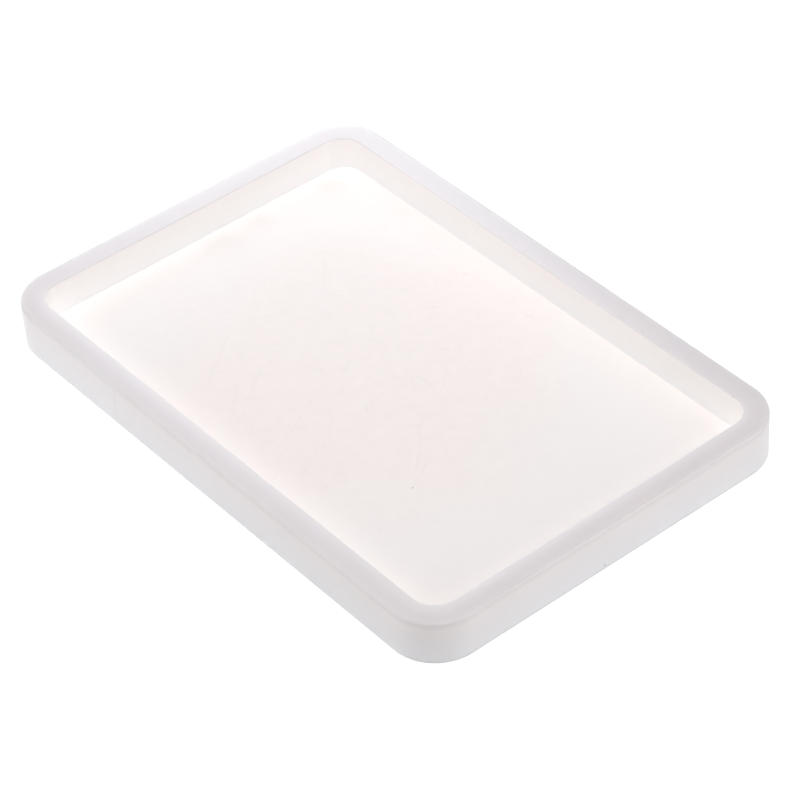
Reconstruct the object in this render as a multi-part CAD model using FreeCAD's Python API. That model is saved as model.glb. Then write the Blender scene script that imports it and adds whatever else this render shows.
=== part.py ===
"""Open wet palette: a moulded silicone tray with an absorbent pad and a palette sheet lying in it.

The frame has +X along the tray's length, +Y along its width and +Z up.
The origin is the middle of the tray's underside. All sizes are in millimetres.
"""

import FreeCAD
import Part

import os

# Tray
TRAY_LENGTH = 160.0
TRAY_WIDTH = 108.0
TRAY_HEIGHT = 12.0
WALL = 6.0
FLOOR = 1.8
INNER_CORNER_RADIUS = 6.0
RIM_OUTER_ROUND = 0.6
RIM_INNER_ROUND = 0.35
BASE_ROUND = 0.5

# Absorbent pad
PAD_THICKNESS = 1.05
PAD_EDGE_ROUND = 0.3
PAD_CLEARANCE = 0.15

# Palette sheet
SHEET_THICKNESS = 0.15
SHEET_CLEARANCE = 0.05

# The share of a wall that the round of one edge may use up, so that a flat is left between two rounds
ROUND_LIMIT = 0.45

# How far from a height an edge may lie and still count as being at it
NEAR = 1e-4

PARTS_FOLDER = "parts"


def rounded_slab(length, width, radius, bottom, thickness):
    """A slab with rounded upright corners, centred on the Z axis, whose underside is at the height bottom."""
    corner = FreeCAD.Vector(-length / 2, -width / 2, bottom)
    slab = Part.makeBox(length, width, thickness, corner)
    upright = [edge for edge in slab.Edges if edge.BoundBox.ZLength > thickness / 2]
    return slab.makeFillet(radius, upright)


def level_edges(shape, height):
    """The edges of a shape that lie at one height."""
    return [
        edge
        for edge in shape.Edges
        if abs(edge.BoundBox.ZMin - height) < NEAR and abs(edge.BoundBox.ZMax - height) < NEAR
    ]


def is_outside(edge):
    """True for an edge of the tray that lies outside the middle line of its wall."""
    box = edge.BoundBox
    reach_x = max(abs(box.XMin), abs(box.XMax))
    reach_y = max(abs(box.YMin), abs(box.YMax))
    return reach_x > (TRAY_LENGTH - WALL) / 2 or reach_y > (TRAY_WIDTH - WALL) / 2


def cavity_slab(clearance, bottom, thickness):
    """A slab that fills the plan of the tray's hollow, but for an even clearance at the wall."""
    return rounded_slab(
        TRAY_LENGTH - 2 * WALL - 2 * clearance,
        TRAY_WIDTH - 2 * WALL - 2 * clearance,
        INNER_CORNER_RADIUS - clearance,
        bottom,
        thickness,
    )


def silicone_tray():
    """The tray: an even wall round a flat floor, with softened rim and base edges."""
    block = rounded_slab(TRAY_LENGTH, TRAY_WIDTH, INNER_CORNER_RADIUS + WALL, 0, TRAY_HEIGHT)
    hollow = cavity_slab(0, FLOOR, TRAY_HEIGHT)
    tray = block.cut(hollow)
    rim_outer = [edge for edge in level_edges(tray, TRAY_HEIGHT) if is_outside(edge)]
    tray = tray.makeFillet(min(RIM_OUTER_ROUND, ROUND_LIMIT * WALL), rim_outer)
    rim_inner = [edge for edge in level_edges(tray, TRAY_HEIGHT) if not is_outside(edge)]
    tray = tray.makeFillet(min(RIM_INNER_ROUND, ROUND_LIMIT * WALL), rim_inner)
    return tray.makeFillet(min(BASE_ROUND, ROUND_LIMIT * FLOOR), level_edges(tray, 0))


def absorbent_pad():
    """The water-holding pad, which lies on the tray's floor."""
    pad = cavity_slab(PAD_CLEARANCE, FLOOR, PAD_THICKNESS)
    edges = level_edges(pad, FLOOR) + level_edges(pad, FLOOR + PAD_THICKNESS)
    return pad.makeFillet(min(PAD_EDGE_ROUND, ROUND_LIMIT * PAD_THICKNESS), edges)


def palette_sheet():
    """The membrane sheet that carries the paint, which lies on the pad."""
    return cavity_slab(SHEET_CLEARANCE, FLOOR + PAD_THICKNESS, SHEET_THICKNESS)


def main():
    """Build every piece and write one STEP file for each."""
    os.makedirs(PARTS_FOLDER, exist_ok=True)
    for make in (silicone_tray, absorbent_pad, palette_sheet):
        piece = make()
        piece.exportStep(os.path.join(PARTS_FOLDER, make.__name__ + ".step"))
        print(make.__name__, "valid", piece.isValid(), "solids", len(piece.Solids), "volume", round(piece.Volume, 1))


main()
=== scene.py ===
"""Looks of an open wet palette: a milky silicone tray with an absorbent pad and a palette sheet in it.

The frame has +X along the tray's length, +Y along its width and +Z up, with its origin in the middle of
the tray's underside. All sizes are in metres.
"""

import logging
import math
from collections.abc import Callable, Mapping
from dataclasses import dataclass, fields
from enum import Enum
from typing import Any, ClassVar

import bpy
import numpy as np
from mathutils import Matrix, Vector, noise


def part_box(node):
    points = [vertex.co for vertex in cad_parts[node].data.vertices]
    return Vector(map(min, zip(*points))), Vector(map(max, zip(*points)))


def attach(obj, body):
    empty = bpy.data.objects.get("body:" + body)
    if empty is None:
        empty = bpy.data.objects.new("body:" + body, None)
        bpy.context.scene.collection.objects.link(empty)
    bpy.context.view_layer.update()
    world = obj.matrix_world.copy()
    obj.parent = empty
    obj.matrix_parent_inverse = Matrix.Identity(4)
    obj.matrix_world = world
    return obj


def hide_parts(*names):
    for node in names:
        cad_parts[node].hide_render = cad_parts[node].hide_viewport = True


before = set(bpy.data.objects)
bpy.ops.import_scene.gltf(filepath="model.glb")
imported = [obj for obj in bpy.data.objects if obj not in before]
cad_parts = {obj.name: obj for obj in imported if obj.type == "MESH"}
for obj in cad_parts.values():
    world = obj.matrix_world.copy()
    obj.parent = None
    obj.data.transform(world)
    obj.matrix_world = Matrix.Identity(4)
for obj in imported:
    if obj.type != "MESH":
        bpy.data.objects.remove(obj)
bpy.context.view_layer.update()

LOG = logging.getLogger("wet_palette")

# Mesh attributes that the materials read
SECTION = "section"
PORE_DEPTH = "pore_depth"

# The middle of noise and of random numbers that run from 0 to 1
MIDDLE = 0.5

# Edges that turn by more than this are shaded sharp
SHARP_TURN = math.radians(40)

# The least depth that a share is taken of, so that a slab without relief has shares of 0
LEAST_DEPTH = 1e-9

# Along the path, a section's X points outwards and its Y points down
SECTION_TURN = (-1.0, -1.0, 0.0)

# How far the section runs in over the floor, in radii of the round at the foot of the wall
FLOOR_LIP = 2.0

# The place along the section that the underside counts as
UNDERSIDE = 1.0

# The height of the sheet's upper face
SHEET_TOP = 0.003

# The operations of a Vector Math node here whose result is a number
NUMBER_RESULTS = ("DOT_PRODUCT", "DISTANCE")

# The inputs of a Compare node that take whole numbers
WHOLE_A = 2
WHOLE_B = 3

Colour = tuple[float, float, float, float]
Rgb = tuple[float, float, float]
Place = tuple[float, float, float]
Grid = np.ndarray
Socket = bpy.types.NodeSocket
Sockets = Mapping[str, Socket]


class Node(Enum):
    """The CAD nodes that the pieces here stand for."""

    TRAY = "silicone_tray"
    PAD = "absorbent_pad"
    SHEET = "palette_sheet"


class Body(Enum):
    """The bodies that the pieces ride on."""

    TRAY = "tray"
    PAD = "pad"
    SHEET = "sheet"


class Slot(Enum):
    """The material slots of the record."""

    SILICONE = "silicone"
    PAD = "pad"
    SHEET = "sheet"


class SocketType(Enum):
    """The types of a node group's inputs and outputs."""

    NUMBER = "NodeSocketFloat"
    COUNT = "NodeSocketInt"
    VECTOR = "NodeSocketVector"
    SHAPE = "NodeSocketGeometry"
    FINISH = "NodeSocketMaterial"


class Wiring:
    """Adds nodes to one node tree and joins their sockets."""

    def __init__(self, tree: bpy.types.NodeTree) -> None:
        """Start on a tree, which may hold nodes already."""
        self.tree = tree

    def feed(self, socket: Socket, value: Any) -> None:
        """Join another node's socket to this one, or set a plain value on it.

        Args:
            socket: The input.
            value: The socket to join to it, or the value to set.
        """
        if isinstance(value, Socket):
            self.tree.links.new(value, socket)
        else:
            socket.default_value = value

    def fill(self, node: bpy.types.Node, inputs: Mapping[str | int, Any]) -> None:
        """Feed several inputs of a node, by name or number."""
        for socket, value in inputs.items():
            self.feed(node.inputs[socket], value)

    def add(
        self, kind: str, inputs: Mapping[str | int, Any] | None = None, **settings: Any
    ) -> bpy.types.Node:
        """Add a node.

        Args:
            kind: The node's type name.
            inputs: For each socket, by name or number, a socket to join or a value to set.
            settings: The node's own properties.

        Returns:
            The new node.
        """
        node = self.tree.nodes.new(kind)
        for name, value in settings.items():
            setattr(node, name, value)
        self.fill(node, inputs or {})
        return node

    def out(self, kind: str, inputs: Mapping[str | int, Any] | None = None, **settings: Any) -> Socket:
        """Add a node and return its first output."""
        return self.add(kind, inputs, **settings).outputs[0]

    def math(self, operation: str, *values: Any, clamp: bool = False) -> Socket:
        """Add a Math node.

        Args:
            operation: The node's operation.
            values: Its inputs in order, sockets or numbers.
            clamp: Whether the result is kept from 0 to 1.

        Returns:
            The result's socket.
        """
        return self.out("ShaderNodeMath", dict(enumerate(values)), operation=operation, use_clamp=clamp)

    def vary(self, mask: Socket, amount: float, level: Any = 1.0, clamp: bool = False) -> Socket:
        """Raise a level by an amount of a mask."""
        return self.math("MULTIPLY_ADD", mask, amount, level, clamp=clamp)

    def vector(self, operation: str, *values: Any) -> Socket:
        """Add a Vector Math node.

        Args:
            operation: The node's operation.
            values: Its inputs in order, sockets or vectors.

        Returns:
            The socket of the result, which is a number for some operations.
        """
        made = self.add("ShaderNodeVectorMath", dict(enumerate(values)), operation=operation)
        return made.outputs["Value" if operation in NUMBER_RESULTS else "Vector"]

    def dim(self, colour: Socket, factor: Socket) -> Socket:
        """Multiply a colour or a vector by a number that varies over the surface."""
        return self.out("ShaderNodeVectorMath", {0: colour, "Scale": factor}, operation="SCALE")

    def strongest(self, values: list[Socket]) -> Socket:
        """Take the largest of several numbers at each point.

        Args:
            values: The numbers' sockets.

        Returns:
            The result's socket.
        """
        largest = values[0]
        for value in values[1:]:
            largest = self.math("MAXIMUM", largest, value)
        return largest

    def fade(
        self, value: Socket, start: float, end: float, low: float = 0.0, high: float = 1.0
    ) -> Socket:
        """Turn a value smoothly from low to high.

        Args:
            value: The socket that is read.
            start: Where the change starts.
            end: Where it ends.
            low: The result up to start.
            high: The result from end on.

        Returns:
            The result's socket.
        """
        inputs = {"Value": value, "From Min": start, "From Max": end, "To Min": low, "To Max": high}
        return self.out("ShaderNodeMapRange", inputs, interpolation_type="SMOOTHSTEP")

    def tint(self, amount: Socket, first: Any, second: Any) -> Socket:
        """Mix two colours.

        Args:
            amount: How much of the second colour there is.
            first: The colour at 0.
            second: The colour at 1.

        Returns:
            The mixed colour's socket.
        """
        mix = self.add("ShaderNodeMix", data_type="RGBA")
        named = {socket.identifier: socket for socket in mix.inputs}
        self.feed(named["Factor_Float"], amount)
        self.feed(named["A_Color"], first)
        self.feed(named["B_Color"], second)
        return next(socket for socket in mix.outputs if socket.identifier == "Result_Color")

    def bump(self, height: Socket, strength: float, depth: float) -> Socket:
        """Turn a height into a normal.

        Args:
            height: The height's socket.
            strength: How strongly it shows.
            depth: The depth that a height of 1 stands for.

        Returns:
            The normal's socket.
        """
        return self.out("ShaderNodeBump", {"Height": height, "Strength": strength, "Distance": depth})


def clean_wiring(owner: bpy.types.Material | bpy.types.World) -> Wiring:
    """Start the wiring of a material or a world, with no node in it.

    Args:
        owner: The material or world.

    Returns:
        Its wiring.
    """
    owner.use_nodes = True
    owner.node_tree.nodes.clear()
    return Wiring(owner.node_tree)


def new_group(
    name: str, kind: str, inputs: Mapping[str, SocketType], outputs: Mapping[str, SocketType]
) -> bpy.types.NodeTree:
    """Make an empty node tree with named sockets.

    Args:
        name: The tree's name.
        kind: Its type.
        inputs: Socket types by name.
        outputs: Socket types by name.

    Returns:
        The tree.
    """
    tree = bpy.data.node_groups.new(name, kind)
    for side, sockets in (("INPUT", inputs), ("OUTPUT", outputs)):
        for socket, socket_type in sockets.items():
            tree.interface.new_socket(name=socket, in_out=side, socket_type=socket_type.value)
    return tree


def titled(owner: Any) -> dict[str, Any]:
    """The values of a dataclass's fields, by the names that a node group's inputs have."""
    return {item.name.replace("_", " ").title(): getattr(owner, item.name) for item in fields(owner)}


@dataclass(frozen=True)
class Effect:
    """A shader node group that is built once and placed in each material with its own values."""

    name: ClassVar[str]
    output: ClassVar[str]

    def draw(self, w: Wiring, given: Sockets) -> Socket:
        """Add the group's own nodes and return the number that it puts out."""
        raise NotImplementedError

    def build(self) -> bpy.types.NodeTree:
        """Make the node group.

        Returns:
            The group, with an input for the coordinates and one for each field.
        """
        inputs = {"Vector": SocketType.VECTOR}
        for name, value in titled(self).items():
            inputs[name] = SocketType.VECTOR if isinstance(value, tuple) else SocketType.NUMBER
        tree = new_group(self.name, "ShaderNodeTree", inputs, {self.output: SocketType.NUMBER})
        w = Wiring(tree)
        drawn = self.draw(w, w.add("NodeGroupInput").outputs)
        w.add("NodeGroupOutput", {self.output: drawn})
        return tree

    def place(self, w: Wiring, where: Socket) -> Socket:
        """Place the group in a material.

        Args:
            w: The material's wiring.
            where: The coordinates that the effect reads.

        Returns:
            The socket of the group's one output.
        """
        group = bpy.data.node_groups.get(self.name) or self.build()
        inputs = {"Vector": where} | titled(self)
        return w.out("ShaderNodeGroup", inputs, node_tree=group)


@dataclass(frozen=True)
class Hairlines(Effect):
    """Fine curved hairlines, one in some cells of a random field, each with its own turn and bend."""

    name: ClassVar[str] = "Hairlines"
    output: ClassVar[str] = "Line"

    # The share of a line's half width that has its full strength
    core: ClassVar[float] = 0.25

    # Where a line starts to fade and where it ends, in cells from its middle
    fade_start: ClassVar[float] = 0.25
    fade_end: ClassVar[float] = 0.5

    # The strength of the faintest line
    faintest: ClassVar[float] = 0.4

    cell: float
    width: float
    share: float
    bend: float = 0.5
    shift: float = 0.0

    def draw(self, w: Wiring, given: Sockets) -> Socket:
        """Draw the lines.

        Args:
            w: The group's wiring.
            given: The group's inputs.

        Returns:
            The strength of the line at each point.
        """
        moved = w.vector("ADD", given["Vector"], given["Shift"])
        scaled = w.vector("DIVIDE", moved, given["Cell"])
        cells = w.add("ShaderNodeTexVoronoi", {"Vector": scaled, "Scale": 1.0}, voronoi_dimensions="2D")
        offset = w.vector("SUBTRACT", scaled, cells.outputs["Position"])
        chance = w.add("ShaderNodeSeparateColor", {0: cells.outputs["Color"]}).outputs
        turn = {"Vector": offset, "Angle": w.math("MULTIPLY", chance[0], math.tau)}
        turned = w.out("ShaderNodeVectorRotate", turn, rotation_type="Z_AXIS")
        along, across, _ = w.add("ShaderNodeSeparateXYZ", {0: turned}).outputs
        curve = w.math("MULTIPLY", w.math("SUBTRACT", chance[1], MIDDLE), given["Bend"])
        bowed = w.math("MULTIPLY_ADD", w.math("MULTIPLY", along, along), curve, across)
        distance = w.math("MULTIPLY", w.math("ABSOLUTE", bowed), given["Cell"])
        core = w.fade(w.math("DIVIDE", distance, given["Width"]), self.core, 1.0, 1.0, 0.0)
        reach = w.fade(w.math("ABSOLUTE", along), self.fade_start, self.fade_end, 1.0, 0.0)
        there = w.math("LESS_THAN", chance[2], given["Share"])
        strength = w.vary(chance[1], 1.0 - self.faintest, self.faintest)
        return w.math("MULTIPLY", w.math("MULTIPLY", core, reach), w.math("MULTIPLY", there, strength))


@dataclass(frozen=True)
class Specks(Effect):
    """Sparse, tiny round specks at random places in a volume."""

    name: ClassVar[str] = "Specks"
    output: ClassVar[str] = "Speck"

    # The size of the smallest speck, in radii, and the share of a speck that has its full strength
    smallest: ClassVar[float] = 0.5
    core: ClassVar[float] = 0.5

    cell: float
    radius: float
    share: float

    def draw(self, w: Wiring, given: Sockets) -> Socket:
        """Draw the specks.

        Args:
            w: The group's wiring.
            given: The group's inputs.

        Returns:
            The number that is 1 on a speck.
        """
        scaled = w.vector("DIVIDE", given["Vector"], given["Cell"])
        cells = w.add("ShaderNodeTexVoronoi", {"Vector": scaled, "Scale": 1.0})
        chance = w.add("ShaderNodeSeparateColor", {0: cells.outputs["Color"]}).outputs
        distance = w.math("MULTIPLY", cells.outputs["Distance"], given["Cell"])
        size = w.math("MULTIPLY", given["Radius"], w.math("ADD", chance[1], self.smallest))
        core = w.fade(w.math("DIVIDE", distance, size), self.core, 1.0, 1.0, 0.0)
        return w.math("MULTIPLY", core, w.math("LESS_THAN", chance[2], given["Share"]))


@dataclass(frozen=True)
class Stroke(Effect):
    """One soft mark along a straight line between two places, or a dot where the two are the same."""

    name: ClassVar[str] = "Stroke"
    output: ClassVar[str] = "Mark"

    # The share of a mark's half width that has its full strength
    core: ClassVar[float] = 0.3

    start: Place
    end: Place
    width: float
    strength: float = 1.0

    def draw(self, w: Wiring, given: Sockets) -> Socket:
        """Draw the mark.

        Args:
            w: The group's wiring.
            given: The group's inputs.

        Returns:
            The strength of the mark at each point.
        """
        away = w.vector("SUBTRACT", given["Vector"], given["Start"])
        whole = w.vector("SUBTRACT", given["End"], given["Start"])
        reach = w.vector("DOT_PRODUCT", whole, whole)
        along = w.math("DIVIDE", w.vector("DOT_PRODUCT", away, whole), reach, clamp=True)
        distance = w.vector("DISTANCE", away, w.dim(whole, along))
        core = w.fade(w.math("DIVIDE", distance, given["Width"]), self.core, 1.0, 1.0, 0.0)
        return w.math("MULTIPLY", core, given["Strength"])


def dot(place: Place, width: float, strength: float = 1.0) -> Stroke:
    """A round mark at one place."""
    return Stroke(place, place, width, strength)


def on_sheet(x: float, y: float, to_x: float, to_y: float, width: float, strength: float = 1.0) -> Stroke:
    """A mark on the sheet's upper face, from one X and Y to another."""
    return Stroke((x, y, SHEET_TOP), (to_x, to_y, SHEET_TOP), width, strength)


@dataclass(frozen=True)
class Mottle(Effect):
    """Soft cloudy unevenness round zero, from about -0.5 to 0.5."""

    name: ClassVar[str] = "Mottle"
    output: ClassVar[str] = "Cloud"

    grain: float
    detail: float = 2.0

    def draw(self, w: Wiring, given: Sockets) -> Socket:
        """Draw the clouds.

        Args:
            w: The group's wiring.
            given: The group's inputs.

        Returns:
            The unevenness at each point.
        """
        scaled = w.vector("DIVIDE", given["Vector"], given["Grain"])
        cloud = w.out("ShaderNodeTexNoise", {"Vector": scaled, "Scale": 1.0, "Detail": given["Detail"]})
        return w.math("SUBTRACT", cloud, MIDDLE)


def new_material(name: str) -> tuple[bpy.types.Material, Wiring, bpy.types.Node]:
    """Make an empty material.

    Args:
        name: The material's name.

    Returns:
        The material, its wiring and its Principled shader, which is joined to the output.
    """
    material = bpy.data.materials.new(name)
    w = clean_wiring(material)
    shader = w.add("ShaderNodeBsdfPrincipled")
    w.add("ShaderNodeOutputMaterial", {"Surface": shader.outputs[0]})
    return material, w, shader


@dataclass(frozen=True)
class Band:
    """One colour of the tray's wall section, and where along the section it starts and ends.

    The places are shares of the section's length, which runs from the floor inside, at 0, over the rim to
    the underside, at 1. The colours are lit and shaded copies of one silicone, so they are painted light
    and shade.
    """

    start: float
    end: float
    colour: Colour


@dataclass(frozen=True)
class SiliconeFinish:
    """Milky translucent silicone, satin, with a little dust, whose colour bands paint light and shade: a
    darker, cooler rim and a paler, warmer inner wall.
    """

    # Painted light: the inner wall is painted paler and warmer, for light that passes through the wall,
    # and painted cooler towards the floor
    inner_foot: Band = Band(0.05, 0.05, (0.970, 0.950, 0.955, 1.0))
    inner: Band = Band(0.16, 0.16, (0.978, 0.926, 0.906, 1.0))
    inner_top: Band = Band(0.25, 0.316, (0.978, 0.905, 0.888, 1.0))
    # Painted shade: the rim and its outer round are painted darker and cooler than the inner wall, and
    # the outer wall is painted darker too
    rim: Band = Band(0.330, 0.46, (0.717, 0.673, 0.685, 1.0))
    edge: Band = Band(0.497, 0.517, (0.735, 0.694, 0.700, 1.0))
    outer: Band = Band(0.57, 0.57, (0.825, 0.785, 0.787, 1.0))
    # Painted light: the outer wall's foot is painted paler and cooler against the shade next to the
    # floor; the underside takes the same colour
    foot: Band = Band(0.84, 0.862, (0.828, 0.812, 0.828, 1.0))
    # Painted shadow: the base round is painted dark, as the contact shadow where the tray meets the floor
    base: Band = Band(0.870, 0.886, (0.560, 0.550, 0.570, 1.0))
    under: Band = Band(0.900, 0.900, (0.828, 0.812, 0.828, 1.0))
    dust: Colour = (0.30, 0.28, 0.27, 1.0)
    translucence: float = 0.5
    spread: float = 0.009
    spread_by_colour: Rgb = (1.0, 0.90, 0.85)
    index: float = 1.41
    roughness: float = 0.40
    gloss: float = 0.58
    cloud: Mottle = Mottle(grain=0.018)
    cloud_tone: float = 0.05
    cloud_roughness: float = 0.10
    skin: Mottle = Mottle(grain=0.0009, detail=3.0)
    skin_height: float = 0.6
    scuffs: Hairlines = Hairlines(cell=0.012, width=0.00010, share=0.22, bend=0.7)
    scuff_roughness: float = 0.12
    bump_strength: float = 0.10
    bump_depth: float = 0.00008
    specks: Specks = Specks(cell=0.006, radius=0.00013, share=0.05)
    marks: tuple[Stroke, ...] = (
        Stroke((-0.034, -0.054, 0.002), (-0.034, -0.054, 0.010), 0.0006, 0.10),
        dot((0.080, -0.0035, 0.0014), 0.0004),
        dot((0.080, 0.029, 0.0115), 0.0003, 0.6),
        dot((0.067, 0.048, 0.012), 0.0004, 0.5),
        dot((0.0705, 0.046, 0.012), 0.0003, 0.6),
    )
    mark_tone: float = 0.6

    def banded(self, w: Wiring) -> Socket:
        """Colour the tray by the section attribute that its mesh carries.

        Args:
            w: The material's wiring.

        Returns:
            The colour's socket, which holds painted light and shade.
        """
        section = w.add("ShaderNodeAttribute", attribute_name=SECTION).outputs["Fac"]
        ramp = w.add("ShaderNodeValToRGB", {"Fac": section})
        inside = (self.inner_foot, self.inner, self.inner_top)
        outside = (self.rim, self.edge, self.outer, self.foot, self.base, self.under)
        stops = [
            (place, band.colour)
            for band in inside + outside
            for place in sorted({band.start, band.end})
        ]
        while len(ramp.color_ramp.elements) < len(stops):
            ramp.color_ramp.elements.new(1.0)
        for element, (place, colour) in zip(ramp.color_ramp.elements, stops):
            element.position = place
            element.color = colour
        return ramp.outputs["Color"]

    def make(self) -> bpy.types.Material:
        """Make the material.

        Returns:
            The material.
        """
        material, w, shader = new_material("milky_silicone")
        where = w.add("ShaderNodeTexCoord").outputs["Object"]
        cloud = self.cloud.place(w, where)
        skin = self.skin.place(w, where)
        scuff = self.scuffs.place(w, where)
        # The section's colour bands are painted light and shade
        clouded = w.dim(self.banded(w), w.vary(cloud, self.cloud_tone))
        marked = w.strongest([mark.place(w, where) for mark in (self.specks, *self.marks)])
        dusty = w.tint(w.math("MULTIPLY", marked, self.mark_tone), clouded, self.dust)
        satin = w.vary(cloud, self.cloud_roughness, self.roughness)
        scuffed = w.vary(scuff, self.scuff_roughness, satin, clamp=True)
        height = w.math("SUBTRACT", w.math("MULTIPLY", skin, self.skin_height), scuff)
        shader.subsurface_method = "RANDOM_WALK"
        inputs = {
            "Base Color": dusty,
            "Roughness": scuffed,
            "Normal": w.bump(height, self.bump_strength, self.bump_depth),
            "Subsurface Weight": self.translucence,
            "Subsurface Radius": self.spread_by_colour,
            "Subsurface Scale": self.spread,
            "IOR": self.index,
            "Specular IOR Level": self.gloss,
        }
        w.fill(shader, inputs)
        return material


@dataclass(frozen=True)
class SheetFinish:
    """Warm white palette membrane, pinker in its worn middle, with hair-like scuffs and a few marks."""

    colour: Colour = (0.970, 0.924, 0.902, 1.0)
    worn_colour: Colour = (0.986, 0.906, 0.884, 1.0)
    line: Colour = (0.58, 0.53, 0.51, 1.0)
    dust: Colour = (0.25, 0.23, 0.22, 1.0)
    roughness: float = 0.6
    gloss: float = 0.22
    worn_middle: Place = (-0.008, -0.002, SHEET_TOP)
    worn_reach: tuple[float, float] = (0.025, 0.065)
    worn_least: float = 0.25
    worn_fade: tuple[float, float] = (0.3, 0.9)
    cloud: Mottle = Mottle(grain=0.030)
    fibre: Mottle = Mottle(grain=0.0006, detail=4.0)
    fibre_roughness: float = 0.15
    fibre_height: float = 0.5
    bump_strength: float = 0.15
    bump_depth: float = 0.00006
    blotch: Mottle = Mottle(grain=0.0030, detail=3.0)
    blotch_tone: float = 0.06
    waviness: float = 0.0022
    wave_size: float = 0.010
    fray: Mottle = Mottle(grain=0.0013, detail=3.0)
    fray_reach: float = 0.12
    fray_least: float = 0.1
    long_hairs: Hairlines = Hairlines(cell=0.014, width=0.00030, share=0.45, bend=0.8)
    short_hairs: Hairlines = Hairlines(cell=0.007, width=0.00028, share=0.55, bend=0.8, shift=0.31)
    hair_tone: float = 0.12
    scuffs: Hairlines = Hairlines(cell=0.0032, width=0.00020, share=0.65, bend=0.4, shift=0.73)
    scuff_share: float = 0.8
    scratches: tuple[Stroke, ...] = (
        on_sheet(-0.049, 0.021, -0.039, 0.012, 0.0003),
        on_sheet(-0.035, 0.012, -0.023, 0.026, 0.0003),
        on_sheet(-0.039, -0.017, -0.028, -0.032, 0.0003),
        on_sheet(-0.008, -0.015, 0.002, -0.034, 0.0003),
        on_sheet(-0.016, -0.010, -0.010, -0.004, 0.0004),
        on_sheet(0.000, 0.002, 0.005, 0.007, 0.0004),
        on_sheet(0.005, 0.007, 0.012, 0.006, 0.0004),
        on_sheet(-0.020, -0.025, -0.023, -0.020, 0.0004),
        on_sheet(-0.010, -0.038, -0.014, -0.032, 0.0003),
        on_sheet(0.017, -0.004, 0.032, -0.017, 0.0003),
        on_sheet(0.026, -0.005, 0.033, -0.006, 0.0003),
        on_sheet(-0.031, 0.041, -0.026, 0.044, 0.0004),
    )
    scratch_tone: float = 0.11
    specks: Specks = Specks(cell=0.013, radius=0.00016, share=0.06)
    dots: tuple[Stroke, ...] = (
        dot((0.033, -0.0195, SHEET_TOP), 0.00035),
        on_sheet(-0.018, 0.0395, -0.0175, 0.040, 0.0006, 0.16),
        dot((-0.013, 0.026, SHEET_TOP), 0.0005, 0.16),
        on_sheet(0.004, 0.040, 0.006, 0.041, 0.0004, 0.12),
    )
    speck_tone: float = 0.5

    def wavy(self, w: Wiring, where: Socket) -> Socket:
        """Bend the coordinates, so that no line on the sheet is quite straight.

        Args:
            w: The material's wiring.
            where: The plain coordinates.

        Returns:
            The bent coordinates' socket.
        """
        waves = w.add("ShaderNodeTexNoise", {"Vector": where, "Scale": 1 / self.wave_size})
        offset = w.vector("SUBTRACT", waves.outputs["Color"], (MIDDLE, MIDDLE, MIDDLE))
        aside = w.vector("MULTIPLY", offset, (self.waviness, self.waviness, 0.0))
        return w.vector("ADD", where, aside)

    def lines(self, w: Wiring, where: Socket, worn: Socket) -> Socket:
        """Draw the hairs and scuffs of the worn part, and the scratches.

        Args:
            w: The material's wiring.
            where: The plain coordinates.
            worn: How worn the sheet is at each point.

        Returns:
            The strength of the lines at each point.
        """
        bent = self.wavy(w, where)
        scuff = w.math("MULTIPLY", self.scuffs.place(w, bent), self.scuff_share)
        hair = w.strongest([self.long_hairs.place(w, bent), self.short_hairs.place(w, bent), scuff])
        scratch = w.strongest([stroke.place(w, bent) for stroke in self.scratches])
        faint_hair = w.math("MULTIPLY", w.math("MULTIPLY", hair, worn), self.hair_tone)
        return w.strongest([faint_hair, w.math("MULTIPLY", scratch, self.scratch_tone)])

    def make(self) -> bpy.types.Material:
        """Make the material.

        Returns:
            The material.
        """
        material, w, shader = new_material("palette_membrane")
        where = w.add("ShaderNodeTexCoord").outputs["Object"]
        fibre = self.fibre.place(w, where)
        from_middle = w.vector("DISTANCE", where, self.worn_middle)
        use = w.fade(from_middle, *self.worn_reach, 1.0, self.worn_least)
        worn = w.math("ADD", use, self.cloud.place(w, where), clamp=True)
        lines = self.lines(w, where, worn)
        frayed = self.fray.place(w, where)
        fray = w.fade(frayed, -self.fray_reach, self.fray_reach, self.fray_least, 1.0)
        specks = w.strongest([spot.place(w, where) for spot in (self.specks, *self.dots)])

        clouded = w.tint(w.fade(worn, *self.worn_fade), self.colour, self.worn_colour)
        blotch = w.math("MULTIPLY", self.blotch.place(w, where), worn)
        blotched = w.dim(clouded, w.vary(blotch, self.blotch_tone))
        lined = w.tint(w.math("MULTIPLY", lines, fray), blotched, self.line)
        dusty = w.tint(w.math("MULTIPLY", specks, self.speck_tone), lined, self.dust)
        rough = w.vary(fibre, self.fibre_roughness, self.roughness, clamp=True)
        height = w.math("SUBTRACT", w.math("MULTIPLY", fibre, self.fibre_height), lines)
        inputs = {
            "Base Color": dusty,
            "Roughness": rough,
            "Normal": w.bump(height, self.bump_strength, self.bump_depth),
            "Specular IOR Level": self.gloss,
        }
        w.fill(shader, inputs)
        return material


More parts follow.
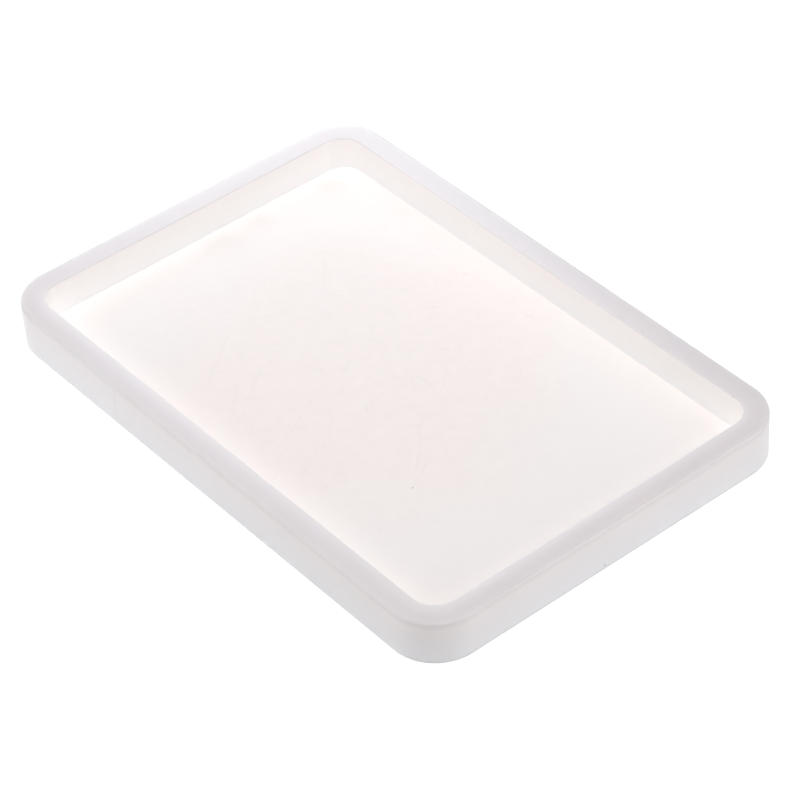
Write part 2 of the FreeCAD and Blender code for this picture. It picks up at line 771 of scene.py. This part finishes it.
@dataclass(frozen=True)
class PadFinish:
    """Cream cellulose sponge with a soft fibrous grain, paler on the skin, its pores painted darker with
    their depth as painted shade.
    """

    skin: Colour = (0.86, 0.81, 0.70, 1.0)
    # Painted shade: the colour that the pores are painted towards as they deepen
    pore: Colour = (0.62, 0.55, 0.42, 1.0)
    roughness: float = 0.85
    sheen: float = 0.15
    cloud: Mottle = Mottle(grain=0.020)
    cloud_tone: float = 0.15
    fibre: Mottle = Mottle(grain=0.0008, detail=4.0)
    fibre_tone: float = 0.5
    fibre_roughness: float = 0.2
    bump_strength: float = 0.35
    bump_depth: float = 0.0002

    def make(self) -> bpy.types.Material:
        """Make the material, which reads the depth attribute that the pad's mesh carries.

        Returns:
            The material.
        """
        material, w, shader = new_material("cellulose_sponge")
        where = w.add("ShaderNodeTexCoord").outputs["Object"]
        cloud = self.cloud.place(w, where)
        fibre = self.fibre.place(w, where)
        # Painted shade: deeper pores are painted darker; the fibre adds grain to the same mix
        depth = w.add("ShaderNodeAttribute", attribute_name=PORE_DEPTH).outputs["Fac"]
        deep = w.math("ADD", depth, w.math("MULTIPLY", fibre, self.fibre_tone), clamp=True)
        clouded = w.dim(w.tint(deep, self.skin, self.pore), w.vary(cloud, self.cloud_tone))
        rough = w.vary(fibre, self.fibre_roughness, self.roughness, clamp=True)
        inputs = {
            "Base Color": clouded,
            "Roughness": rough,
            "Normal": w.bump(fibre, self.bump_strength, self.bump_depth),
            "Sheen Weight": self.sheen,
        }
        w.fill(shader, inputs)
        return material


def add_object(name: str, mesh: bpy.types.Mesh) -> bpy.types.Object:
    """Put a mesh in the scene as an object at the origin.

    Args:
        name: The object's name.
        mesh: The mesh.

    Returns:
        The object.
    """
    made = bpy.data.objects.new(name, mesh)
    bpy.context.scene.collection.objects.link(made)
    return made


def run_nodes(piece: bpy.types.Object, tree: bpy.types.NodeTree, values: Mapping[str, Any]) -> None:
    """Run a Geometry Nodes tree on a piece and keep the result as its plain mesh.

    Args:
        piece: The object.
        tree: The node tree.
        values: The tree's inputs by name.
    """
    modifier = piece.modifiers.new(tree.name, "NODES")
    modifier.node_group = tree
    for item in tree.interface.items_tree:
        if item.in_out == "INPUT" and item.name in values:
            modifier[item.identifier] = values[item.name]
    bpy.context.view_layer.update()
    seen = piece.evaluated_get(bpy.context.evaluated_depsgraph_get())
    mesh = bpy.data.meshes.new_from_object(seen)
    piece.modifiers.remove(modifier)
    piece.data = mesh
    mesh.name = piece.name


@dataclass
class SiliconeTray:
    """The tray: one moulding whose wall section is swept round a rectangle with rounded corners."""

    finish: ClassVar[SiliconeFinish] = SiliconeFinish()

    wall: float = 0.006
    corner: float = 0.012
    rim_outer_round: float = 0.0006
    rim_inner_round: float = 0.0002
    floor_round: float = 0.0002
    base_round: float = 0.0005
    base_inset: float = 0.004
    path_step: float = 0.0005
    join_reach: float = 0.000001
    corner_steps: int = 48
    round_steps: int = 6

    def sizes(self) -> dict[str, float | int]:
        """List the node tree's sizes.

        Returns:
            The sizes by name: the outer ones and the floor from the frame, the rest the tray's own.
        """
        low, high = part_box(Node.TRAY.value)
        outside = {"Length": high.x - low.x, "Width": high.y - low.y, "Height": high.z - low.z}
        return outside | {"Floor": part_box(Node.PAD.value)[0].z} | titled(self)

    def tree(self) -> bpy.types.NodeTree:
        """Make the node tree: a wall section that is swept along a path, and two faces that close it.

        Returns:
            The tree, with an input for each size and one for the finish.
        """
        inputs = {"Geometry": SocketType.SHAPE}
        for name, size in self.sizes().items():
            inputs[name] = SocketType.COUNT if isinstance(size, int) else SocketType.NUMBER
        inputs["Finish"] = SocketType.FINISH
        tree = new_group("Swept Tray", "GeometryNodeTree", inputs, {"Geometry": SocketType.SHAPE})
        tree.is_modifier = True
        w = Wiring(tree)
        given = w.add("NodeGroupInput").outputs
        curves = {"Curve": self.path(w, given), "Profile Curve": self.section(w, given)}
        swept = w.out("GeometryNodeCurveToMesh", curves)
        whole = w.add("GeometryNodeJoinGeometry")
        for part in (swept, *self.ends(w, given, swept)):
            w.feed(whole.inputs[0], part)
        near = {"Geometry": whole.outputs[0], "Distance": given["Join Reach"]}
        closed = w.out("GeometryNodeMergeByDistance", near)
        smooth = w.out("GeometryNodeSetShadeSmooth", {"Geometry": closed})
        real = w.out("GeometryNodeRealizeInstances", {"Geometry": smooth})
        dressed = w.out("GeometryNodeSetMaterial", {"Geometry": real, "Material": given["Finish"]})
        w.add("NodeGroupOutput", {"Geometry": dressed})
        return tree

    @staticmethod
    def path(w: Wiring, given: Sockets) -> Socket:
        """Lay out the tray's outline, which the section follows.

        Args:
            w: The tree's wiring.
            given: The tree's inputs.

        Returns:
            The path's socket.
        """
        sides = {"Width": given["Length"], "Height": given["Width"]}
        outline = w.out("GeometryNodeCurvePrimitiveQuadrilateral", sides)
        turns = {"Curve": outline, "Radius": given["Corner"], "Count": given["Corner Steps"]}
        rounded = w.out("GeometryNodeFilletCurve", turns, mode="POLY")
        steps = {"Curve": rounded, "Length": given["Path Step"]}
        stepped = w.out("GeometryNodeResampleCurve", steps, mode="LENGTH")
        return w.out("GeometryNodeSetCurveNormal", {"Curve": stepped}, mode="Z_UP")

    def section(self, w: Wiring, given: Sockets) -> Socket:
        """Draw the wall section, from the floor inside over the rim to the underside.

        Args:
            w: The tree's wiring.
            given: The tree's inputs.

        Returns:
            The section's socket.
        """
        lip = w.math("ADD", given["Wall"], w.math("MULTIPLY", given["Floor Round"], FLOOR_LIP))
        # Each corner's inset from the outer wall, its height and its round
        corners = (
            (lip, given["Floor"], 0.0),
            (given["Wall"], given["Floor"], given["Floor Round"]),
            (given["Wall"], given["Height"], given["Rim Inner Round"]),
            (0.0, given["Height"], given["Rim Outer Round"]),
            (0.0, 0.0, given["Base Round"]),
            (given["Base Inset"], 0.0, 0.0),
        )
        flat = [
            w.out("ShaderNodeCombineXYZ", {"X": inset, "Y": height})
            for inset, height, _ in corners
        ]
        index = w.out("GeometryNodeInputIndex")
        turned = w.vector("MULTIPLY", self.choose(w, index, "VECTOR", flat), SECTION_TURN)
        line = w.out("GeometryNodeMeshLine", {"Count": len(corners)})
        bent = w.out("GeometryNodeSetPosition", {"Geometry": line, "Position": turned})
        sharp = w.out("GeometryNodeMeshToCurve", {"Mesh": bent})
        radii = self.choose(w, index, "FLOAT", [radius for _, _, radius in corners])
        rounds = {"Curve": sharp, "Radius": radii, "Count": given["Round Steps"]}
        rounded = w.out("GeometryNodeFilletCurve", rounds, mode="POLY")
        return self.mark(w, rounded, w.add("GeometryNodeSplineParameter").outputs["Factor"])

    def ends(self, w: Wiring, given: Sockets, swept: Socket) -> tuple[Socket, Socket]:
        """Close the two open rings of the swept wall.

        Args:
            w: The tree's wiring.
            given: The tree's inputs.
            swept: The swept wall.

        Returns:
            The sockets of the floor inside and of the underside.
        """
        beside = {WHOLE_A: w.out("GeometryNodeInputMeshEdgeNeighbors"), WHOLE_B: 1}
        is_open = w.out("FunctionNodeCompare", beside, data_type="INT", operation="EQUAL")
        position = w.out("GeometryNodeInputPosition")
        height = w.add("ShaderNodeSeparateXYZ", {0: position}).outputs["Z"]
        is_high = w.math("GREATER_THAN", height, w.math("DIVIDE", given["Floor"], 2))
        is_low = w.math("SUBTRACT", 1.0, is_high)
        faces = []
        for level, is_near in ((given["Floor"], is_high), (0.0, is_low)):
            chosen = w.out("FunctionNodeBooleanMath", {0: is_open, 1: is_near}, operation="AND")
            ring = w.out("GeometryNodeMeshToCurve", {"Mesh": swept, "Selection": chosen})
            filled = w.out("GeometryNodeFillCurve", {"Curve": ring}, mode="NGONS")
            lift = w.out("ShaderNodeCombineXYZ", {"Z": level})
            faces.append(w.out("GeometryNodeTransform", {"Geometry": filled, "Translation": lift}))
        floor, under = faces
        flipped = w.out("GeometryNodeFlipFaces", {"Mesh": under})
        return floor, self.mark(w, flipped, UNDERSIDE)

    @staticmethod
    def mark(w: Wiring, shape: Socket, share: Any) -> Socket:
        """Store each point's place along the wall section in an attribute."""
        stored = {"Geometry": shape, "Name": SECTION, "Value": share}
        return w.out("GeometryNodeStoreNamedAttribute", stored, data_type="FLOAT", domain="POINT")

    @staticmethod
    def choose(w: Wiring, index: Socket, kind: str, values: list[Any]) -> Socket:
        """Pick one of several values by a point's number.

        Args:
            w: The tree's wiring.
            index: The socket with the point's number.
            kind: The type of the values.
            values: One value or socket for each point.

        Returns:
            The socket with the value picked.
        """
        switch = w.add("GeometryNodeIndexSwitch", data_type=kind)
        while len(switch.index_switch_items) < len(values):
            switch.index_switch_items.new()
        w.feed(switch.inputs["Index"], index)
        for number, value in enumerate(values):
            w.feed(switch.inputs[str(number)], value)
        return switch.outputs[0]

    def build(self) -> bpy.types.Object:
        """Build the tray's mesh at the size that the frame gives.

        Returns:
            The tray.
        """
        piece = add_object("tray_moulding", bpy.data.meshes.new("tray_moulding"))
        run_nodes(piece, self.tree(), self.sizes() | {"Finish": self.finish.make()})
        return piece

    def dress(self, piece: bpy.types.Object) -> None:
        """Let the tray stand for its CAD node.

        Args:
            piece: The tray.
        """
        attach(piece, Body.TRAY.value)
        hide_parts(Node.TRAY.value)


@dataclass
class Slab:
    """A thin closed slab with rounded corners, made of two grids that are joined round the edge."""

    length: float
    width: float
    radius: float
    bottom: float
    top: float
    step: float
    edge_round: float

    def core(self) -> tuple[float, float]:
        """Half the length and half the width between the rounded corners."""
        return self.length / 2 - self.radius, self.width / 2 - self.radius

    def past_core(self, x: Grid, y: Grid) -> tuple[Grid, Grid]:
        """How far points lie beyond where the corners start, along X and along Y."""
        core_x, core_y = self.core()
        return np.clip(np.abs(x) - core_x, 0, None), np.clip(np.abs(y) - core_y, 0, None)

    def spread(self, half: float) -> Grid:
        """Space a grid's lines from one side to the other, with lines where the corners start.

        Args:
            half: Half the slab's size across the lines.

        Returns:
            Where the lines lie.
        """
        core = half - self.radius
        middle = np.linspace(-core, core, 1 + round(2 * core / self.step))
        corner = np.linspace(core, half, 1 + math.ceil(self.radius / self.step))[1:]
        return np.concatenate([-corner[::-1], middle, corner])

    def plan(self) -> tuple[Grid, Grid]:
        """Lay out a grid over the slab.

        Returns:
            The X and Y of the points, whose outermost rows follow the rounded corners.
        """
        x, y = np.meshgrid(self.spread(self.length / 2), self.spread(self.width / 2), indexing="ij")
        core_x, core_y = self.core()
        over_x, over_y = self.past_core(x, y)
        pulled_x = over_x * np.sqrt(1 - (over_y / self.radius) ** 2 / 2)
        pulled_y = over_y * np.sqrt(1 - (over_x / self.radius) ** 2 / 2)
        is_corner = over_x * over_y > 0
        round_x = np.where(is_corner, np.sign(x) * (core_x + pulled_x), x)
        round_y = np.where(is_corner, np.sign(y) * (core_y + pulled_y), y)
        return round_x, round_y

    def edge_inset(self, x: Grid, y: Grid) -> Grid:
        """Find how far the rounded edge drops below the flat face.

        Args:
            x: The points' X.
            y: Their Y.

        Returns:
            The drop at each point.
        """
        to_edge = self.radius - np.hypot(*self.past_core(x, y))
        into = np.clip(self.edge_round - to_edge, 0, self.edge_round)
        return self.edge_round - np.sqrt(self.edge_round**2 - into**2)

    @staticmethod
    def faces(rows: int, columns: int) -> list[tuple[int, ...]]:
        """List the faces of two grids and of the band that joins their edges.

        Args:
            rows: How many rows of points a grid has.
            columns: How many points a row has.

        Returns:
            The numbers of each face's points.
        """
        layer = rows * columns

        def at(i: int, j: int) -> int:
            """The number of a point of the lower grid."""
            return i * columns + j

        made: list[tuple[int, ...]] = []
        for i in range(rows - 1):
            for j in range(columns - 1):
                square = (at(i, j), at(i + 1, j), at(i + 1, j + 1), at(i, j + 1))
                made.append(square[::-1])
                made.append(tuple(number + layer for number in square))
        ring = [at(i, 0) for i in range(rows - 1)]
        ring += [at(rows - 1, j) for j in range(columns - 1)]
        ring += [at(i, columns - 1) for i in range(rows - 1, 0, -1)]
        ring += [at(0, j) for j in range(columns - 1, 0, -1)]
        for here, after in zip(ring, ring[1:] + ring[:1]):
            made.append((here, after, after + layer, here + layer))
        return made

    def mesh(self, name: str, relief: Callable[[float, float, bool], float]) -> bpy.types.Mesh:
        """Make the slab's mesh.

        Args:
            name: The mesh's name.
            relief: How far a point lies below the flat face, from its X and Y and whether it is on top.

        Returns:
            The mesh, with the relief as a share of its depth in an attribute.
        """
        x, y = self.plan()
        rows, columns = x.shape
        inset = self.edge_inset(x, y)
        points: list[Place] = []
        depths: list[float] = []
        for on_top in (False, True):
            for i in range(rows):
                for j in range(columns):
                    sunk = relief(x[i, j], y[i, j], on_top)
                    drop = sunk + inset[i, j]
                    points.append((x[i, j], y[i, j], self.top - drop if on_top else self.bottom + drop))
                    depths.append(sunk)
        mesh = bpy.data.meshes.new(name)
        mesh.from_pydata(points, [], self.faces(rows, columns))
        deepest = max(max(depths), LEAST_DEPTH)
        layer = mesh.attributes.new(PORE_DEPTH, "FLOAT", "POINT")
        layer.data.foreach_set("value", np.array(depths, np.float32) / deepest)
        mesh.shade_smooth()
        mesh.set_sharp_from_angle(angle=SHARP_TURN)
        return mesh


def unit_noise(place: Vector) -> float:
    """Smooth noise that runs from 0 to 1."""
    return (1 + noise.noise(place)) / 2


@dataclass
class FlatPiece:
    """A flat piece that lies in the tray and fills its CAD node's box."""

    name: ClassVar[str]
    node: ClassVar[Node]
    finish: ClassVar[PadFinish | SheetFinish]

    radius: float
    edge_round: float
    step: float

    def relief(self, x: float, y: float, on_top: bool) -> float:
        """How far a point of the upper or lower face lies below the flat."""
        raise NotImplementedError

    def build(self) -> bpy.types.Object:
        """Build the piece's mesh.

        Returns:
            The piece.
        """
        low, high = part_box(self.node.value)
        length, width = high.x - low.x, high.y - low.y
        slab = Slab(length, width, self.radius, low.z, high.z, self.step, self.edge_round)
        piece = add_object(self.name, slab.mesh(self.name, self.relief))
        piece.data.materials.append(self.finish.make())
        return piece


@dataclass
class AbsorbentPad(FlatPiece):
    """The pad: a die-cut piece of cellulose sponge with open pores in both faces."""

    name: ClassVar[str] = "sponge_pad"
    node: ClassVar[Node] = Node.PAD
    finish: ClassVar[PadFinish] = PadFinish()

    radius: float = 0.00585
    edge_round: float = 0.0003
    step: float = 0.0008
    pore_cell: float = 0.0034
    pore_reach: float = 0.62
    pore_depth: float = 0.00024
    pore_steepness: float = 1.6
    depth_grain: float = 0.5
    underside_shift: int = 9

    def relief(self, x: float, y: float, on_top: bool) -> float:
        """Find how deep a pore is at a point.

        Args:
            x: The point's X.
            y: Its Y.
            on_top: Whether it lies on the upper face.

        Returns:
            The depth.
        """
        level = 0.0 if on_top else self.pore_cell * self.underside_shift
        place = Vector((x, y, level)) / self.pore_cell
        nearest = noise.voronoi(place)[0][0]
        open_share = max(0.0, 1 - nearest / self.pore_reach)
        size = unit_noise(place * self.depth_grain)
        return self.pore_depth * min(1.0, self.pore_steepness * open_share) * size

    def dress(self, piece: bpy.types.Object) -> None:
        """Let the pad stand for its CAD node.

        Args:
            piece: The pad.
        """
        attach(piece, Body.PAD.value)
        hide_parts(Node.PAD.value)


@dataclass
class PaletteSheet(FlatPiece):
    """The sheet: a thin membrane that lies on the pad, very slightly cockled."""

    name: ClassVar[str] = "membrane_sheet"
    node: ClassVar[Node] = Node.SHEET
    finish: ClassVar[SheetFinish] = SheetFinish()

    radius: float = 0.00595
    edge_round: float = 0.00004
    step: float = 0.0012
    cockle: float = 0.00003
    cockle_size: float = 0.018

    def relief(self, x: float, y: float, on_top: bool) -> float:
        """How far the sheet dips below its highest level at a point."""
        wave = unit_noise(Vector((x, y, 0)) / self.cockle_size)
        return self.cockle * wave if on_top else 0.0

    def dress(self, piece: bpy.types.Object) -> None:
        """Let the sheet stand for its CAD node.

        Args:
            piece: The sheet.
        """
        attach(piece, Body.SHEET.value)
        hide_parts(Node.SHEET.value)


@dataclass
class PhotoCamera:
    """The camera, set by its bearing round the tray's middle, with its angles in degrees."""

    lens: float = 144.70
    azimuth: float = 52.7234
    elevation: float = 40.673
    roll: float = -3.7906
    distance: float = 0.76024
    aside: float = 0.00312
    above: float = -0.00229
    clip_factor: float = 100.0

    def build(self) -> None:
        """Make the scene's camera."""
        turn, rise, tilt = (math.radians(angle) for angle in (self.azimuth, self.elevation, self.roll))
        level = math.cos(rise)
        back = Vector((math.sin(turn) * level, -math.cos(turn) * level, math.sin(rise)))
        right = Vector((math.cos(turn), math.sin(turn), 0.0))
        up = back.cross(right)
        leaned_right = right * math.cos(tilt) + up * math.sin(tilt)
        leaned_up = up * math.cos(tilt) - right * math.sin(tilt)
        data = bpy.data.cameras.new("camera")
        data.lens = self.lens
        data.clip_start = self.distance / self.clip_factor
        data.clip_end = self.distance * self.clip_factor
        camera = bpy.data.objects.new("camera", data)
        turned = Matrix((leaned_right, leaned_up, back)).transposed().to_4x4()
        place = back * self.distance + leaned_right * self.aside + leaned_up * self.above
        camera.matrix_world = Matrix.Translation(place) @ turned
        bpy.context.scene.collection.objects.link(camera)
        bpy.context.scene.camera = camera


@dataclass(frozen=True)
class Softbox:
    """A flat lamp that faces the tray, part of whose light may pass the tray's translucent walls."""

    name: str
    place: Place
    size: tuple[float, float]
    power: float
    passing: float = 0.5
    colour: Rgb = (1.0, 1.0, 1.0)
    setback: float = 1.01

    def build(self) -> None:
        """Hang one lamp for the light that is stopped and, just behind it, one for the rest."""
        self.hang(self.name, 1 - self.passing, 1.0, True)
        if self.passing > 0:
            self.hang(self.name + "_passing", self.passing, self.setback, False)

    def hang(self, name: str, share: float, distance: float, is_stopped: bool) -> None:
        """Hang one lamp in the scene.

        Args:
            name: The lamp's name.
            share: Its share of the power.
            distance: How far out it hangs, as a multiple of the softbox's own distance.
            is_stopped: Whether what its light meets casts a shadow.
        """
        data = bpy.data.lights.new(name, "AREA")
        data.shape = "RECTANGLE"
        data.size, data.size_y = self.size
        data.energy = self.power * share
        data.color = self.colour
        data.use_shadow = is_stopped
        lamp = bpy.data.objects.new(name, data)
        lamp.location = Vector(self.place) * distance
        lamp.rotation_euler = Vector(self.place).to_track_quat("Z", "Y").to_euler()
        bpy.context.scene.collection.objects.link(lamp)


@dataclass
class Studio:
    """The plain white floor, the even light round the tray and the lamps."""

    floor_size: float = 6.0
    floor_drop: float = 0.00005
    floor_colour: Colour = (0.88, 0.88, 0.88, 1.0)
    shadow_share: Colour = (0.20, 0.20, 0.20, 1.0)
    floor_white: float = 0.87
    surround: float = 0.05
    lamps: tuple[Softbox, ...] = (
        Softbox("overhead_softbox", (0.14, -0.11, 0.72), (0.5, 0.5), 2.56),
        Softbox("front_left_softbox", (-0.26, -0.52, 0.12), (0.4, 0.4), 1.72),
        Softbox("front_right_softbox", (0.56, 0.10, 0.14), (0.4, 0.4), 1.22),
        Softbox("side_softbox", (0.30, 0.39, 0.34), (0.4, 0.4), 0.46),
        Softbox("back_softbox", (-0.27, 0.18, 0.22), (0.2, 0.2), 0.71, 0.70, (0.90, 0.95, 1.0)),
        Softbox("low_back_softbox", (-0.46, 0.07, 0.008), (0.5, 0.014), 0.20, 0.0, (0.90, 0.95, 1.0)),
    )

    @staticmethod
    def shown(w: Wiring) -> Socket:
        """Tell the rays that show a surface to the camera from those that only carry light.

        Args:
            w: The wiring of a material or a world.

        Returns:
            The socket that is 1 where the camera sees the surface, also by way of a gloss or a glass.
        """
        path = w.add("ShaderNodeLightPath").outputs
        seen = w.math("MAXIMUM", path["Is Camera Ray"], path["Is Glossy Ray"])
        return w.math("MAXIMUM", seen, path["Is Transmission Ray"])

    def floor_material(self) -> bpy.types.Material:
        """Make the floor's white, which still takes a shadow.

        Returns:
            The material.
        """
        material = bpy.data.materials.new("studio_white")
        w = clean_wiring(material)
        plain = w.out("ShaderNodeBsdfDiffuse", {"Color": self.floor_colour})
        shaded = w.out("ShaderNodeBsdfDiffuse", {"Color": self.shadow_share})
        white = w.out("ShaderNodeEmission", {"Strength": self.floor_white})
        lit = w.out("ShaderNodeAddShader", {0: shaded, 1: white})
        both = w.out("ShaderNodeMixShader", {0: self.shown(w), 1: plain, 2: lit})
        w.add("ShaderNodeOutputMaterial", {"Surface": both})
        return material

    def lay_floor(self) -> None:
        """Lay the floor."""
        half = self.floor_size / 2
        corners = [(-half, -half), (half, -half), (half, half), (-half, half)]
        mesh = bpy.data.meshes.new("studio_floor")
        mesh.from_pydata([(x, y, -self.floor_drop) for x, y in corners], [], [(0, 1, 2, 3)])
        mesh.materials.append(self.floor_material())
        add_object("studio_floor", mesh)

    def light_surround(self) -> None:
        """Make the world: white where the camera sees it, and faint as a light."""
        world = bpy.data.worlds.new("studio")
        bpy.context.scene.world = world
        w = clean_wiring(world)
        strength = w.vary(self.shown(w), 1.0 - self.surround, self.surround)
        light = w.out("ShaderNodeBackground", {"Strength": strength})
        w.add("ShaderNodeOutputWorld", {"Surface": light})

    def build(self) -> None:
        """Lay the floor and light the scene."""
        self.lay_floor()
        self.light_surround()
        for lamp in self.lamps:
            lamp.build()


def main() -> None:
    """Build every piece, the studio and the camera."""
    logging.basicConfig(level=logging.INFO, format="%(message)s")
    for part in (SiliconeTray(), AbsorbentPad(), PaletteSheet()):
        piece = part.build()
        part.dress(piece)
        LOG.info("%s: %d faces", piece.name, len(piece.data.polygons))
    Studio().build()
    PhotoCamera().build()
    bpy.context.scene.view_settings.view_transform = "Standard"


if __name__ == "__main__":
    main()
